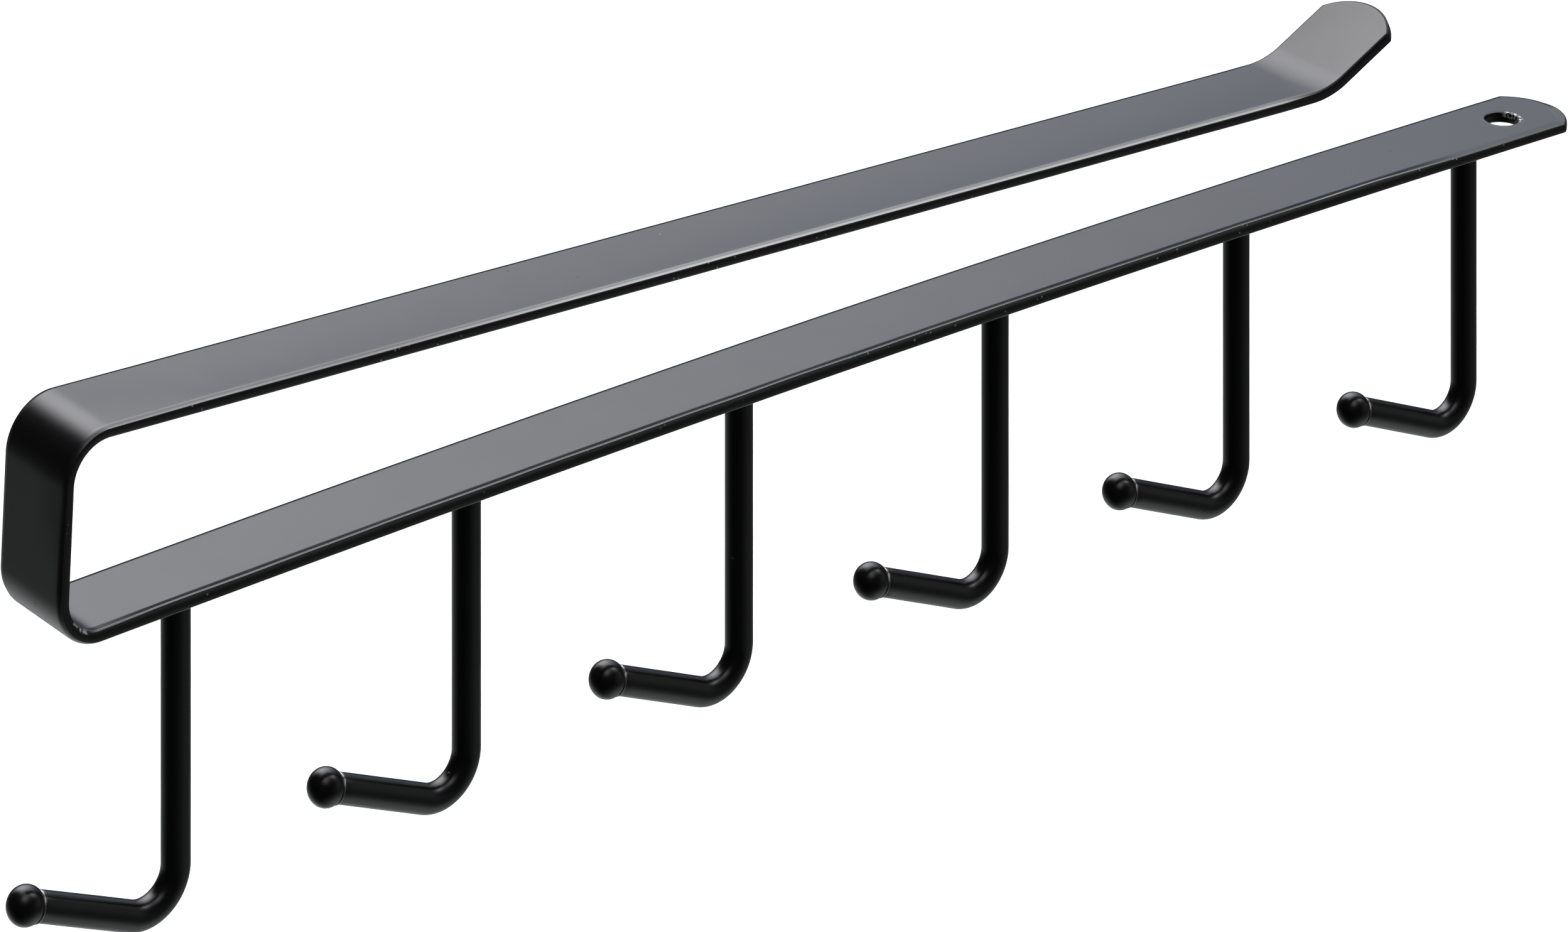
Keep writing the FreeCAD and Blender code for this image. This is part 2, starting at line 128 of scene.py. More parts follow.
def coat_material(name, roughness, peel, dust):
    """Satin black powder coat: faint orange peel, a few pimples and dust specks, thin wear on
    sharp corners, and bare chipped metal where the mesh is painted `chip`. A second mesh paint is
    painted light: it raises the coat's reflectance for painted highlights, and where it is
    negative it lowers it for painted shade. Lengths are in mm."""
    material = bpy.data.materials.new(name)
    tree = Tree(material)
    place = tree.vector("SCALE", tree.add("ShaderNodeTexCoord").outputs["Object"], Scale=1000.0)
    rim, chip, shine = (
        tree.add("ShaderNodeAttribute", {"attribute_name": paint}).outputs["Fac"]
        for paint in ("rim", "chip", "shine"))

    cloud = tree.noise(place, size=9.0, detail=3.0)
    fine = tree.noise(place, size=0.9)
    pimples = tree.dots(place, size=7.0, radius=0.22, share=0.35)
    patchy = tree.maths("MULTIPLY", rim,
                        tree.step(tree.noise(place, size=17.0), low=0.45, high=0.55))
    crumbs = tree.maths("MULTIPLY", tree.dots(place, size=0.8, radius=0.17, share=0.22), patchy)
    specks = tree.maths("MAXIMUM", crumbs, tree.dots(place, size=4.5, radius=0.15, share=dust))
    rubbed = tree.maths("MULTIPLY", tree.step(rim, low=0.75, high=1.0),
                        tree.step(tree.noise(place, size=1.6, detail=4.0), low=0.56, high=0.66))
    broken = tree.maths("MULTIPLY", tree.step(chip, low=0.10, high=0.45),
                        tree.step(tree.noise(place, size=0.38, detail=3.0), low=0.47, high=0.54))

    colour = tree.mix(cloud, *BLACKS)
    colour = tree.mix(tree.maths("MULTIPLY", rubbed, RUBBED_MIX), colour, RUBBED_COLOUR)
    colour = tree.mix(specks, colour, SPECK_COLOUR)
    colour = tree.mix(broken, colour, CHIP_COLOUR)

    uneven = tree.maths("MULTIPLY_ADD", cloud, ROUGH_SPREAD, roughness - ROUGH_SPREAD / 2)
    rough = tree.maths("MULTIPLY_ADD", tree.maths("MAXIMUM", broken, specks), MARK_ROUGH, uneven)

    height = tree.maths("MULTIPLY", fine, peel)
    height = tree.maths("MULTIPLY_ADD", tree.noise(place, size=3.2), peel * COARSE_PEEL, height)
    height = tree.maths("MULTIPLY_ADD", pimples, PIMPLE_HEIGHT, height)
    height = tree.maths("MULTIPLY_ADD", broken, -CHIP_DEPTH, height)
    bump = tree.add("ShaderNodeBump", Height=height, Strength=1.0, Distance=0.001)

    # the IOR carries the painted light: raised for painted highlights, lowered for painted shade
    shader = tree.add("ShaderNodeBsdfPrincipled", Base_Color=colour, Roughness=rough,
                      IOR=tree.maths("MULTIPLY_ADD", shine, PAINTED_LIGHT_IOR, COAT_IOR),
                      Metallic=tree.maths("MULTIPLY", broken, CHIP_METAL),
                      Normal=bump.outputs["Normal"])
    tree.add("ShaderNodeOutputMaterial", Surface=shader.outputs[0])
    return material


STRIP_COAT = coat_material("strip_powder_coat", roughness=0.24, peel=0.0010, dust=0.05)
ROD_COAT = coat_material("rod_powder_coat", roughness=0.22, peel=0.0016, dust=0.05)
WELD_COAT = coat_material("weld_powder_coat", roughness=0.27, peel=0.0030, dust=0.20)

# ------------------------------------------------------------------ sizes, in millimetres

MM = 0.001
HOOKS = 6

# strip, as in the CAD source
WIDTH, THICK = 15.3, 1.7
BOW = 5600.0                                  # radius of the lower arm's bow
LOWER_END, LOWER_ROUND = 142.0, 9.2           # x of the open end, and the radius of its outline
LOW_PLACE, LOW_BEND = 139.3, 5.1              # -x of the lower bend's centre, and inner radius
LEAN = math.radians(2.9)                      # upright, from the vertical
HIGH_BEND = 5.7
GAP, SLOPE = 18.4, math.radians(2.36)         # gap between the arms at x = 0, upper arm's slope
TIP_PLACE, TIP_BEND = 82.9, 14.0              # x where the lead-in bend starts, and its radius
TIP_RISE, TIP_LENGTH, TIP_ROUND = math.radians(24.6), 14.1, 9.6
HOLE_PLACE, HOLE = 131.0, 2.7                 # x of the hole, and its radius

# hooks, as in the CAD source
ROD, BALL = 2.1, 2.7                          # radii
PITCH = 49.0
DROP, REACH, RISE, ELBOW = 46.3, 26.1, math.radians(22.5), 5.5
WELD = 0.7                                    # width of the weld round a rod's top
SEAT = 1.95                                   # ball's centre to the end of its rod

# coat on the rod's end, which stops short of the ball
GROOVE = 0.12
END_ROUND = 0.16

# ------------------------------------------------------------------ mesh helpers


def turned(angle, length=1.0):
    """Vector in a side view (x, z), at an angle from +X towards +Z."""
    return Vector((math.cos(angle), math.sin(angle))) * length


def wobble(x, y, z, size):
    """Smooth fixed noise between about -1 and 1, with features of a given size."""
    return noise.noise(Vector((x, y, z)) / size)


class Shell:
    """Vertices and faces of one piece, in millimetres, with painted values per vertex."""

    def __init__(self):
        self.points, self.faces, self.paint = [], [], {}

    def add(self, point, **paint):
        self.points.append(tuple(point))
        for name, value in paint.items():
            self.paint.setdefault(name, {})[len(self.points) - 1] = value
        return len(self.points) - 1

    def band(self, first, second, closed=True):
        """Quads between two rows of vertices of the same length."""
        count = len(first)
        for i in range(count if closed else count - 1):
            j = (i + 1) % count
            self.faces.append((first[i], first[j], second[j], second[i]))

    def cap(self, ring, centre):
        for i, corner in enumerate(ring):
            self.faces.append((corner, ring[(i + 1) % len(ring)], centre))

    def piece(self, name, node, material):
        mesh = bpy.data.meshes.new(name)
        mesh.from_pydata([Vector(p) * MM for p in self.points], [], self.faces)
        work = bmesh.new()
        work.from_mesh(mesh)
        bmesh.ops.recalc_face_normals(work, faces=work.faces)
        work.to_mesh(mesh)
        work.free()
        mesh.shade_smooth()
        for key, values in self.paint.items():
            layer = mesh.attributes.new(key, "FLOAT", "POINT")
            for index, value in values.items():
                layer.data[index].value = value
        mesh.materials.append(material)
        obj = bpy.data.objects.new(name, mesh)
        bpy.context.scene.collection.objects.link(obj)
        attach(obj, "root")
        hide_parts(node)
        return obj


# ------------------------------------------------------------------ the strip's path


def strip_path():
    """Stretches of the strip's middle surface from the lower open end: (length, turn) pairs,
    with the first point and heading."""
    mid = BOW - THICK / 2
    first_angle = math.asin(LOWER_END / mid)
    touch = math.asin(LOW_PLACE / (BOW + LOW_BEND))
    low = Vector((-LOW_PLACE, (BOW + LOW_BEND) * math.cos(touch) - BOW))
    inward, up = turned(-LEAN), turned(math.pi / 2 - SLOPE)
    to_plate, to_arm = low.dot(inward) + HIGH_BEND - LOW_BEND, GAP - HIGH_BEND
    turn = inward.x * up.y - inward.y * up.x
    high = Vector(((to_plate * up.y - to_arm * inward.y) / turn,
                   (to_arm * inward.x - to_plate * up.x) / turn))
    tip_x = TIP_PLACE + (THICK + TIP_BEND) * up.x
    tip = Vector((tip_x, (GAP + THICK + TIP_BEND - tip_x * up.x) / up.y))
    bends = LOW_BEND + THICK / 2, HIGH_BEND + THICK / 2, TIP_BEND + THICK / 2
    turns = (-(math.pi / 2 + touch + LEAN), -(math.pi / 2 - LEAN + SLOPE), SLOPE + TIP_RISE)
    stretches = [
        (mid * (first_angle + touch), first_angle + touch),
        (bends[0] * abs(turns[0]), turns[0]),
        ((high - low).dot(turned(math.pi / 2 - LEAN)), 0),
        (bends[1] * abs(turns[1]), turns[1]),
        ((tip - high).dot(turned(-SLOPE)), 0),
        (bends[2] * turns[2], turns[2]),
        (TIP_LENGTH, 0),
    ]
    start = Vector((LOWER_END, mid * math.cos(first_angle) - BOW))
    return stretches, start, math.pi - first_angle


STRETCHES, PATH_START, PATH_HEADING = strip_path()
LENGTH = sum(length for length, _ in STRETCHES)


def path_at(s):
    """Point of the middle surface at length s, and the path's heading there."""
    point, angle = PATH_START.copy(), PATH_HEADING
    for length, turn in STRETCHES:
        run = min(s, length)
        bend = turn * run / length
        chord = run if abs(bend) < 1e-9 else run * math.sin(bend / 2) / (bend / 2)
        point += turned(angle + bend / 2, chord)
        angle += bend
        s -= run
        if s <= 0:
            break
    return point, angle


def on_strip(s, y, height):
    """Place of a point at length s, y across, and a height towards the inside of the U."""
    point, angle = path_at(s)
    return (point.x + math.sin(angle) * height, y, point.y - math.cos(angle) * height)


# ------------------------------------------------------------------ the strip's mesh

# The strip is laid out flat: s is the length from the lower open end, y the place across (the
# near edge is at -HALF), and height the distance from the middle surface towards the inside of
# the U. A rim section is a list of rows (inset from the outline, height, lip, painted light), from
# the outer face round to the inner face. `lip` is the share of the lip's height added to a row.
# The painted light raises the coat's reflectance for a painted highlight and, where it is
# negative, lowers it for painted shade.

HALF = WIDTH / 2
FACE = THICK / 2
INSET = 2.0                     # width of the rim, round the flat faces
TRIM = 0.02                     # least inset, so that the uneven coat keeps to the bar's width
PAINTED_SHADE_LEVEL = -0.35                    # painted shade on the sloped rows and shoulders: lowered reflectance

ROLL_END, ROLL_WIDTH, ROLL_DEPTH = 0.05, 1.02, 0.43
# the rolled edge's painted highlight rises to full over its first few rows
ROLL_STEPS, ROLL_HIGHLIGHT_STEPS = 10, 3
SIDE_BULGE, SIDE_MIDDLE, SIDE_REACH, SIDE_STEPS = 0.035, 0.09, 0.45, 4
# rows of the inner corner; the last value is a painted highlight along the corner
CORNER = [(0.05, 0.60, 0.15, 0.2), (0.08, 0.66, 0.40, 0.6), (0.14, 0.73, 0.68, 0.8),
          (0.22, 0.79, 0.87, 0.8), (0.31, 0.83, 0.96, 0.8), (0.42, 0.85, 1.0, 0.4)]
LIP_TOP = CORNER[-1][0]         # inset of the lip's top
# the lip's first rows carry painted shade on its inward slope
LIP_HEIGHT, LIP_WIDTH, LIP_STEPS, LIP_SHADE_STEPS = 0.40, 1.48, 8, 6
LIP_UNEVEN, LIP_UNEVEN_SIZE = 0.25, 14
FAR_SHOULDER, TIP_SHOULDER = (0.85, 0.24), (0.42, 0.17)   # width and drop of a shoulder, which carries painted shade
PLAIN_CORNER = 0.30             # inset of a tighter corner, as a share of the near one's


def side_rows():
    """The strip's side, bulging slightly."""
    return [(TRIM + SIDE_BULGE * (k / SIDE_STEPS) ** 2,
             SIDE_MIDDLE + SIDE_REACH * k / SIDE_STEPS, 0, 0)
            for k in range(-SIDE_STEPS, SIDE_STEPS + 1)]


def near_section():
    """The near rim: the rolled outer edge, the side, and the inner corner, where the coat stands
    up in a lip that falls away towards the middle of the strip. The rolled edge and the inner
    corner carry a painted highlight, and the lip's inward slope carries painted shade."""
    roll = [(ROLL_END + ROLL_WIDTH * (1 - k / ROLL_STEPS),
             -FACE + ROLL_DEPTH * (k / ROLL_STEPS) ** 2, 0, min(1, k / ROLL_HIGHLIGHT_STEPS))
            for k in range(ROLL_STEPS + 1)]
    lip = [(LIP_TOP + LIP_WIDTH * (k / LIP_STEPS), FACE, 1 - k / LIP_STEPS,
            PAINTED_SHADE_LEVEL if k <= LIP_SHADE_STEPS else 0)
           for k in range(1, LIP_STEPS + 1)]
    return roll + side_rows() + CORNER + lip


def plain_section(width, drop):
    """The same rows with a shoulder of a given size on each face, darkened by painted shade,
    and tighter corners.
    """
    def shoulder(inset):
        return drop * max(0, 1 - inset / width)

    # painted shade on the shoulders, which draws dark outlines along the far edges and round the
    # tip
    def shoulder_shade(inset):
        return PAINTED_SHADE_LEVEL if inset < width else 0

    rows, side = [], side_rows()
    for row in near_section():
        inset, height, lip, _ = row
        if row in side:
            rows.append(row)
        elif height < 0:
            rows.append((inset, -FACE + shoulder(inset), 0, shoulder_shade(inset)))
        else:
            pull = inset if inset <= LIP_TOP else LIP_TOP * lip
            pulled = inset - (1 - PLAIN_CORNER) * pull
            round_off = (FACE - height) / 2
            rows.append((max(TRIM, pulled), FACE - round_off - shoulder(pulled), 0,
                         shoulder_shade(pulled)))
    return rows


# mesh rows: across the strip, along it, and round the hole's square
ROWS = 24
FLAT_STEP, BEND_STEPS, SLIGHT_TURN = 1.3, 26, 0.1
LOWER_ZONE, LOWER_STEPS = 6.4, 8            # length of the rounded lower end, and its rows
TIP_ZONE, TIP_STEPS = 7.0, 10               # the same for the tip
HOLE_S = LOWER_END - HOLE_PLACE
HOLE_SQUARE, HOLE_STEPS = 4.6, 16           # half side of the square, and the rows across it


def stations():
    """Lengths along the path where the mesh has a row of vertices."""
    found = [LOWER_ZONE * i / LOWER_STEPS for i in range(LOWER_STEPS)]
    found += [HOLE_S - HOLE_SQUARE + 2 * HOLE_SQUARE * i / HOLE_STEPS
              for i in range(HOLE_STEPS + 1)]
    tip_start = LENGTH - TIP_ZONE
    begin = 0
    for length, turn in STRETCHES:
        end = begin + length
        step = FLAT_STEP if abs(turn) < SLIGHT_TURN else length / BEND_STEPS
        low, high = max(begin, found[-1]), min(end, tip_start)
        count = max(1, round((high - low) / step))
        found += [low + (high - low) * (i + 1) / count for i in range(count)]
        begin = end
    return found + [tip_start + TIP_ZONE * (i + 1) / TIP_STEPS for i in range(TIP_STEPS)]


def plan(station, across, inset):
    """Flat place (s, y) of a mesh vertex, for an outline drawn in by `inset`."""
    y = across * (HALF - inset)
    low = LOWER_ROUND - math.sqrt((LOWER_ROUND - inset) ** 2 - y * y)
    high = LENGTH - TIP_ROUND + math.sqrt((TIP_ROUND - inset) ** 2 - y * y)
    if station < LOWER_ZONE:
        return low + (LOWER_ZONE - low) * station / LOWER_ZONE, y
    if station > LENGTH - TIP_ZONE:
        left = (LENGTH - station) / TIP_ZONE
        return high - (high - (LENGTH - TIP_ZONE)) * left, y
    return station, y


def rows_across():
    """Places across the strip from -1 to 1, with the hole's square on its own rows."""
    square = HOLE_SQUARE / (HALF - INSET)
    side = (ROWS - HOLE_STEPS) // 2
    low = [-1 + (1 - square) * i / side for i in range(side)]
    middle = [-square + 2 * square * i / HOLE_STEPS for i in range(HOLE_STEPS + 1)]
    return low + middle + [-value for value in reversed(low)]


def ramp(value, start, end, least):
    """Straight rise from 0 at `start` to 1 at `end`, but never below `least` or above 1."""
    return max(least, min(1, (value - start) / (end - start)))


def mixed(first, second, share):
    return first + (second - first) * share


# where the rim changes: pairs of places, from none of a thing to all of it, and the least of it
NEAR_TO_FAR = -1.5, 1.5                                   # y
LIP_BEGIN, LIP_BEGIN_LEAST = (24, 44), 0.15               # s, past the open end
LIP_FINISH, LIP_FINISH_LEAST = (292, 272), 0.25           # s, at the lower bend
# strength of the painted highlight on the rolled edge, past the upper bend and towards the tip
HIGHLIGHT_RETURN, HIGHLIGHT_RETURN_LEAST = (330, 410), 0.40       # s, past the upper bend
HIGHLIGHT_FADE, HIGHLIGHT_FADE_LEAST = (LENGTH - 14, LENGTH - 30), 0.25
TIP_SECTION = LENGTH - 27, LENGTH - 19                    # s
DISH, DISH_RISE = 0.14, (315, 332)                        # depth, and s along the upper arm
CROWN, CROWN_RISE = 0.26, (296, 304)                      # drop, and s at the upper bend
WORN_MIDDLE = STRETCHES[0][0] + 0.45 * STRETCHES[1][0]    # s, in the lower bend
WORN_REACH, WORN_WIDTH, WORN_TOP, WORN_CHIP = 2.2, 1.0, 0.9, 0.8

# fine unevenness: height of the noise, and size of its features
SLOW_WAVE, RIPPLE = (0.012, 22), (0.004, 6)               # of the faces
EDGE_ROUGH, EDGE_NICKS = (0.012, 1.1), (0.016, 2.3)       # of the sharp corners, up and inward
FACE_TRIM = 0.012                                         # keeps the faces inside the bar
SHARP_WIDTH, SHARP_HEIGHT = 0.35, 0.5                     # what counts as a sharp corner


def lip_share(s, y):
    """Share of the lip's full height: full along the near edge of the lower arm only."""
    along = ramp(s, *LIP_BEGIN, LIP_BEGIN_LEAST) * ramp(s, *LIP_FINISH, LIP_FINISH_LEAST)
    return along * ramp(y, *reversed(NEAR_TO_FAR), 0)


def roll_highlight(s):
    """Strength of the painted highlight on the rolled edge: least past the upper bend and
    towards the tip.
    """
    if s < LIP_FINISH[0]:
        return 1
    return ramp(s, *HIGHLIGHT_RETURN, HIGHLIGHT_RETURN_LEAST) * ramp(s, *HIGHLIGHT_FADE, HIGHLIGHT_FADE_LEAST)


def worn(s, y):
    """How far the coat is worn off the near inner corner in the middle of the lower bend."""
    return max(0, 1 - ((s - WORN_MIDDLE) / WORN_REACH) ** 2) * (y < WORN_WIDTH - HALF)


def hollow(s, y, height):
    """How far a face lies towards the inside of the U: slight unevenness, and an outer face that
    is dished across the upper arm and falls off towards the near edge round the upper bend."""
    arm = ramp(s, *DISH_RISE, 0)
    bend = ramp(s, *CROWN_RISE, 0) * (1 - arm)
    dish = DISH * arm * (1 - (y / HALF) ** 2) + CROWN * bend * max(0, -y / HALF) ** 2
    bumps = (SLOW_WAVE[0] * wobble(s, y * 2, 0, SLOW_WAVE[1])
             + RIPPLE[0] * wobble(s, y, 5, RIPPLE[1]))
    return FACE_TRIM + bumps + dish * max(0, -height / FACE)


def rim_point(station, across, near, far, tip):
    """Place and mesh paint of a rim vertex, from its rows in the three sections."""
    s, y = plan(station, across, near[0])
    at_far, at_tip = ramp(y, *NEAR_TO_FAR, 0), ramp(s, *TIP_SECTION, 0)
    # painted light of the row: highlight on the rolled edge, highlight on the inner corner and
    # shade on the lip, each with its own share along the strip
    lit = *near[:3], near[3] * (roll_highlight(s) if near[1] < 0 else lip_share(s, y))
    inset, height, lip, shine = (mixed(mixed(n, f, at_far), t, at_tip)
                                 for n, f, t in zip(lit, far, tip))
    s, y = plan(station, across, inset)
    sharp = max(0, 1 - near[0] / SHARP_WIDTH) * min(1, abs(height) / SHARP_HEIGHT)
    height += hollow(s, y, height) + EDGE_ROUGH[0] * sharp * wobble(s, y, 9, EDGE_ROUGH[1])
    height += (lip * lip_share(s, y) * LIP_HEIGHT
               * (1 + LIP_UNEVEN * wobble(s, 0, 3, LIP_UNEVEN_SIZE)))
    inward = abs(EDGE_NICKS[0] * sharp * wobble(s, y, 17, EDGE_NICKS[1]))
    chip = WORN_CHIP * worn(s, y) * (0 < lip < WORN_TOP)
    return on_strip(s, y * (1 - inward / HALF), height), dict(rim=sharp, shine=shine, chip=chip)


def build_strip():
    shell = Shell()
    lengths, across = stations(), rows_across()
    first_hole, last_hole = LOWER_STEPS, LOWER_STEPS + HOLE_STEPS
    first_row = (ROWS - HOLE_STEPS) // 2
    last_row = first_row + HOLE_STEPS

    def in_square(a, b):
        return first_hole < a < last_hole and first_row < b < last_row

    faces = {}
    for side in (-1, 1):
        grid = {}
        for a, station in enumerate(lengths):
            for b, value in enumerate(across):
                if not in_square(a, b):
                    s, y = plan(station, value, INSET)
                    height = side * FACE
                    grid[a, b] = shell.add(on_strip(s, y, height + hollow(s, y, height)))
        for a in range(len(lengths) - 1):
            for b in range(ROWS):
                if not (first_hole <= a < last_hole and first_row <= b < last_row):
                    shell.faces.append((grid[a, b], grid[a + 1, b],
                                        grid[a + 1, b + 1], grid[a, b + 1]))
        faces[side] = grid

    # rim: rings of vertices from the outer face's border round to the inner face's border
    end = len(lengths) - 1
    border = [(a, 0) for a in range(end)] + [(end, b) for b in range(ROWS)]
    border += [(a, ROWS) for a in range(end, 0, -1)] + [(0, b) for b in range(ROWS, 0, -1)]
    last = [faces[-1][key] for key in border]
    sections = near_section(), plain_section(*FAR_SHOULDER), plain_section(*TIP_SHOULDER)
    for rows in zip(*sections):
        ring = []
        for a, b in border:
            place, paint = rim_point(lengths[a], across[b], *rows)
            ring.append(shell.add(place, **paint))
        shell.band(last, ring)
        last = ring
    shell.band(last, [faces[1][key] for key in border])

    build_hole(shell, faces, first_hole, last_hole, first_row, last_row)
    return shell.piece("strip_coated", "shelf_strip", STRIP_COAT)


# hole section as (distance beyond the bore, height), from the inner face through to the outer face
HOLE_RIM = [(0.55, 0.850), (0.42, 0.858), (0.30, 0.872), (0.19, 0.862), (0.10, 0.820),
            (0.04, 0.750), (0.00, 0.650), (0.00, 0.350), (0.00, 0.000), (0.00, -0.350),
            (0.00, -0.550), (0.05, -0.690), (0.14, -0.790), (0.27, -0.842), (0.42, -0.850)]
CHIPPED_SIDE, CHIPPED_SPREAD = math.radians(-163), 1.2
CHIPPED_DOWN_TO, CHIPPED_BELOW = 0.2, 0.2     # the coat is chipped less below this height
HOLE_EDGE = 0.8                               # how far from the bore the edge is uneven
HOLE_RUB = 0.6
HOLE_ROUGH, CHIP_ROUGH, HOLE_ROUGH_SIZE = 0.02, 0.16, 0.55
CHIP_LIFT, CHIP_LIFT_SIZE = 0.10, 0.5
BLEND_RINGS = 4


def build_hole(shell, faces, a0, a1, b0, b1):
    """Join both faces to the punched hole, whose coat is chipped on one side."""
    square = [(a, b0) for a in range(a0, a1)] + [(a1, b) for b in range(b0, b1)]
    square += [(a, b1) for a in range(a1, a0, -1)] + [(a0, b) for b in range(b1, b0, -1)]
    half = HOLE_STEPS // 2
    angles = [math.atan2(b - b0 - half, a - a0 - half) for a, b in square]

    def ring_at(reach, height):
        ring = []
        for angle in angles:
            away = math.remainder(angle - CHIPPED_SIDE, 2 * math.pi)
            chipped = max(0, 1 - (away / CHIPPED_SPREAD) ** 2)
            chipped *= 1 if height > CHIPPED_DOWN_TO else CHIPPED_BELOW
            near = max(0, 1 - reach / HOLE_EDGE)
            rough = wobble(math.cos(angle) * HOLE, math.sin(angle) * HOLE, reach + 3,
                           HOLE_ROUGH_SIZE)
            bore = HOLE + reach + near * rough * (HOLE_ROUGH + CHIP_ROUGH * chipped)
            lift = near * chipped * CHIP_LIFT * wobble(
                math.cos(angle) * 3, math.sin(angle) * 3, reach * 2, CHIP_LIFT_SIZE)
            s, y = HOLE_S + math.cos(angle) * bore, math.sin(angle) * bore
            ring.append(shell.add(on_strip(s, y, height + lift + hollow(s, y, height)),
                                  rim=near * HOLE_RUB, chip=near * chipped))
        return ring

    def blend_rings(border, target, height):
        """Rings between a face's square border and the rim's first circle."""
        last = border
        for step in range(1, BLEND_RINGS):
            ring = []
            for angle in angles:
                edge = HOLE_SQUARE / max(abs(math.cos(angle)), abs(math.sin(angle)))
                reach = mixed(edge, HOLE + target, step / BLEND_RINGS)
                s, y = HOLE_S + math.cos(angle) * reach, math.sin(angle) * reach
                ring.append(shell.add(on_strip(s, y, height + hollow(s, y, height))))
            shell.band(last, ring)
            last = ring
        return last

    last = blend_rings([faces[1][key] for key in square], HOLE_RIM[0][0], FACE)
    for reach, height in HOLE_RIM:
        ring = ring_at(reach, height)
        shell.band(last, ring)
        last = ring
    lower = blend_rings([faces[-1][key] for key in square], HOLE_RIM[-1][0], -FACE)
    shell.band(last, lower)


# ------------------------------------------------------------------ hooks

ROUND = 40                                      # vertices round a rod, a ball or a weld
LEG_STEPS, ELBOW_STEPS, ARM_STEPS = 25, 28, 11  # rings along a rod
INTO_STRIP = 0.12                               # how far a rod's top goes up past its weld
FLATTENING, INNER_FLATTENING = 0.015, 0.045     # of the rod's radius, in the middle of its bend
DENT, DENT_SIZE = 0.010, 3.5
SLACK = 0.012                                   # keeps the uneven coat inside the rod's size
END_RINGS, END_ROUND_RINGS = 7, 5               # on the rod's end, and round its corner
END_RING_GAP = 0.3
END_ROUGH, END_ROUGH_SIZE = 0.02, 0.9
BALL_STEPS = 26
BALL_UNEVEN, BALL_UNEVEN_SIZE = 0.03, 2.6
BALL_SLACK, BALL_POLE = 0.02, 0.997             # the same for a ball, and for its two poles
LUMP_SHARE, LUMP_RUN, LUMP_SIZE = 0.5, 1.6, 0.7
WELD_INSIDE = 0.05                              # past its first row, a weld is rippled


def hook_place(index):
    """Top of a rod: x along the row, and the height where its weld meets the bowed underside."""
    x = (index - (HOOKS - 1) / 2) * PITCH
    reach = abs(x) + ROD + WELD
    return x, math.sqrt((BOW - THICK) ** 2 - reach ** 2) - BOW


def hook_path(x, top):
    """Rings along a hook's wire, (centre, heading, share of the bend) in the side view, and the
    middle of its square-cut end."""
    bend_turn = math.pi / 2 + RISE
    setback = ELBOW * math.tan(bend_turn / 2)
    corner = Vector((x, top - DROP))
    along = turned(math.pi - RISE)
    leg = DROP - setback
    rings = [(Vector((x, top - leg * i / LEG_STEPS)), -math.pi / 2, 0)
             for i in range(LEG_STEPS)]
    centre = corner + Vector((-ELBOW, setback))
    for i in range(ELBOW_STEPS + 1):
        angle = -bend_turn * i / ELBOW_STEPS
        rings.append((centre + turned(angle, ELBOW), angle - math.pi / 2,
                      math.sin(math.pi * i / ELBOW_STEPS)))
    end = REACH - SEAT - GROOVE
    for i in range(1, ARM_STEPS + 1):
        far = setback + (end - END_ROUND - setback) * i / ARM_STEPS
        rings.append((corner + along * far, math.pi - RISE, 0))
    return rings, corner + along * end


def build_wire(index):
    """Cold-bent wire: the bend is slightly flattened, most on its inner side."""
    shell = Shell()
    x, top = hook_place(index)
    last = None
    rings, end = hook_path(x, top + INTO_STRIP)
    for centre, angle, bend in rings:
        side = turned(angle - math.pi / 2)
        ring = []
        for i in range(ROUND):
            turn = 2 * math.pi * i / ROUND
            inner = max(0, math.cos(turn))
            in_plane = ROD * (1 - bend * (FLATTENING + INNER_FLATTENING * inner ** 3))
            out = Vector((side.x * math.cos(turn) * in_plane, math.sin(turn) * ROD,
                          side.y * math.cos(turn) * in_plane))
            spot = Vector((centre.x, 0, centre.y)) + out
            dent = DENT * wobble(spot.x, spot.y, spot.z, DENT_SIZE) - SLACK
            ring.append(shell.add(spot + out.normalized() * dent))
        if last:
            shell.band(last, ring)
        else:
            shell.cap(ring, shell.add((centre.x, 0, centre.y)))
        last = ring
    along = turned(math.pi - RISE)
    across = Vector((along.y, 0, -along.x))
    for k in range(1, END_RINGS + 1):
        on_corner = k <= END_ROUND_RINGS
        fall = math.pi / 2 * min(1, k / END_ROUND_RINGS)
        inset = END_ROUND * (1 - math.cos(fall)) + END_RING_GAP * max(0, k - END_ROUND_RINGS)
        middle = end - along * END_ROUND * (1 - math.sin(fall))
        ring = []
        for i in range(ROUND):
            turn = 2 * math.pi * i / ROUND
            rough = END_ROUGH * wobble(math.cos(turn) * 2, math.sin(turn) * 2, index * 5,
                                       END_ROUGH_SIZE)
            reach = ROD - SLACK - inset + rough * on_corner
            place = (Vector((middle.x, 0, middle.y)) + across * math.cos(turn) * reach
                     + Vector((0, math.sin(turn) * reach, 0)))
            ring.append(shell.add(place, rim=float(on_corner)))
        shell.band(last, ring)
        last = ring
    shell.cap(last, shell.add((end.x, 0, end.y)))
    return shell.piece(f"wire_{index + 1}", f"hook_rod_{index + 1}", ROD_COAT)


def revolved(shell, section, centre, axis, uneven, **paint):
    """A closed section (radius, distance along the axis) turned about a tilted axis.
    `uneven(turn, radius, distance)` pushes a point away from the axis."""
    axis = Vector((axis.x, 0, axis.y))
    side = Vector((axis.z, 0, -axis.x))
    rings = []
    for radius, distance in section:
        ring = []
        for i in range(ROUND):
            turn = 2 * math.pi * i / ROUND
            out = side * math.cos(turn) + Vector((0, 1, 0)) * math.sin(turn)
            reach = radius + (uneven(turn, radius, distance) if radius > 0 else 0)
            ring.append(shell.add(Vector((centre.x, 0, centre.y)) + out * reach
                                  + axis * distance, **paint))
        rings.append(ring)
    return rings


def ball_centre(index):
    x, top = hook_place(index)
    return Vector((x, top - DROP)) + turned(math.pi - RISE, REACH)


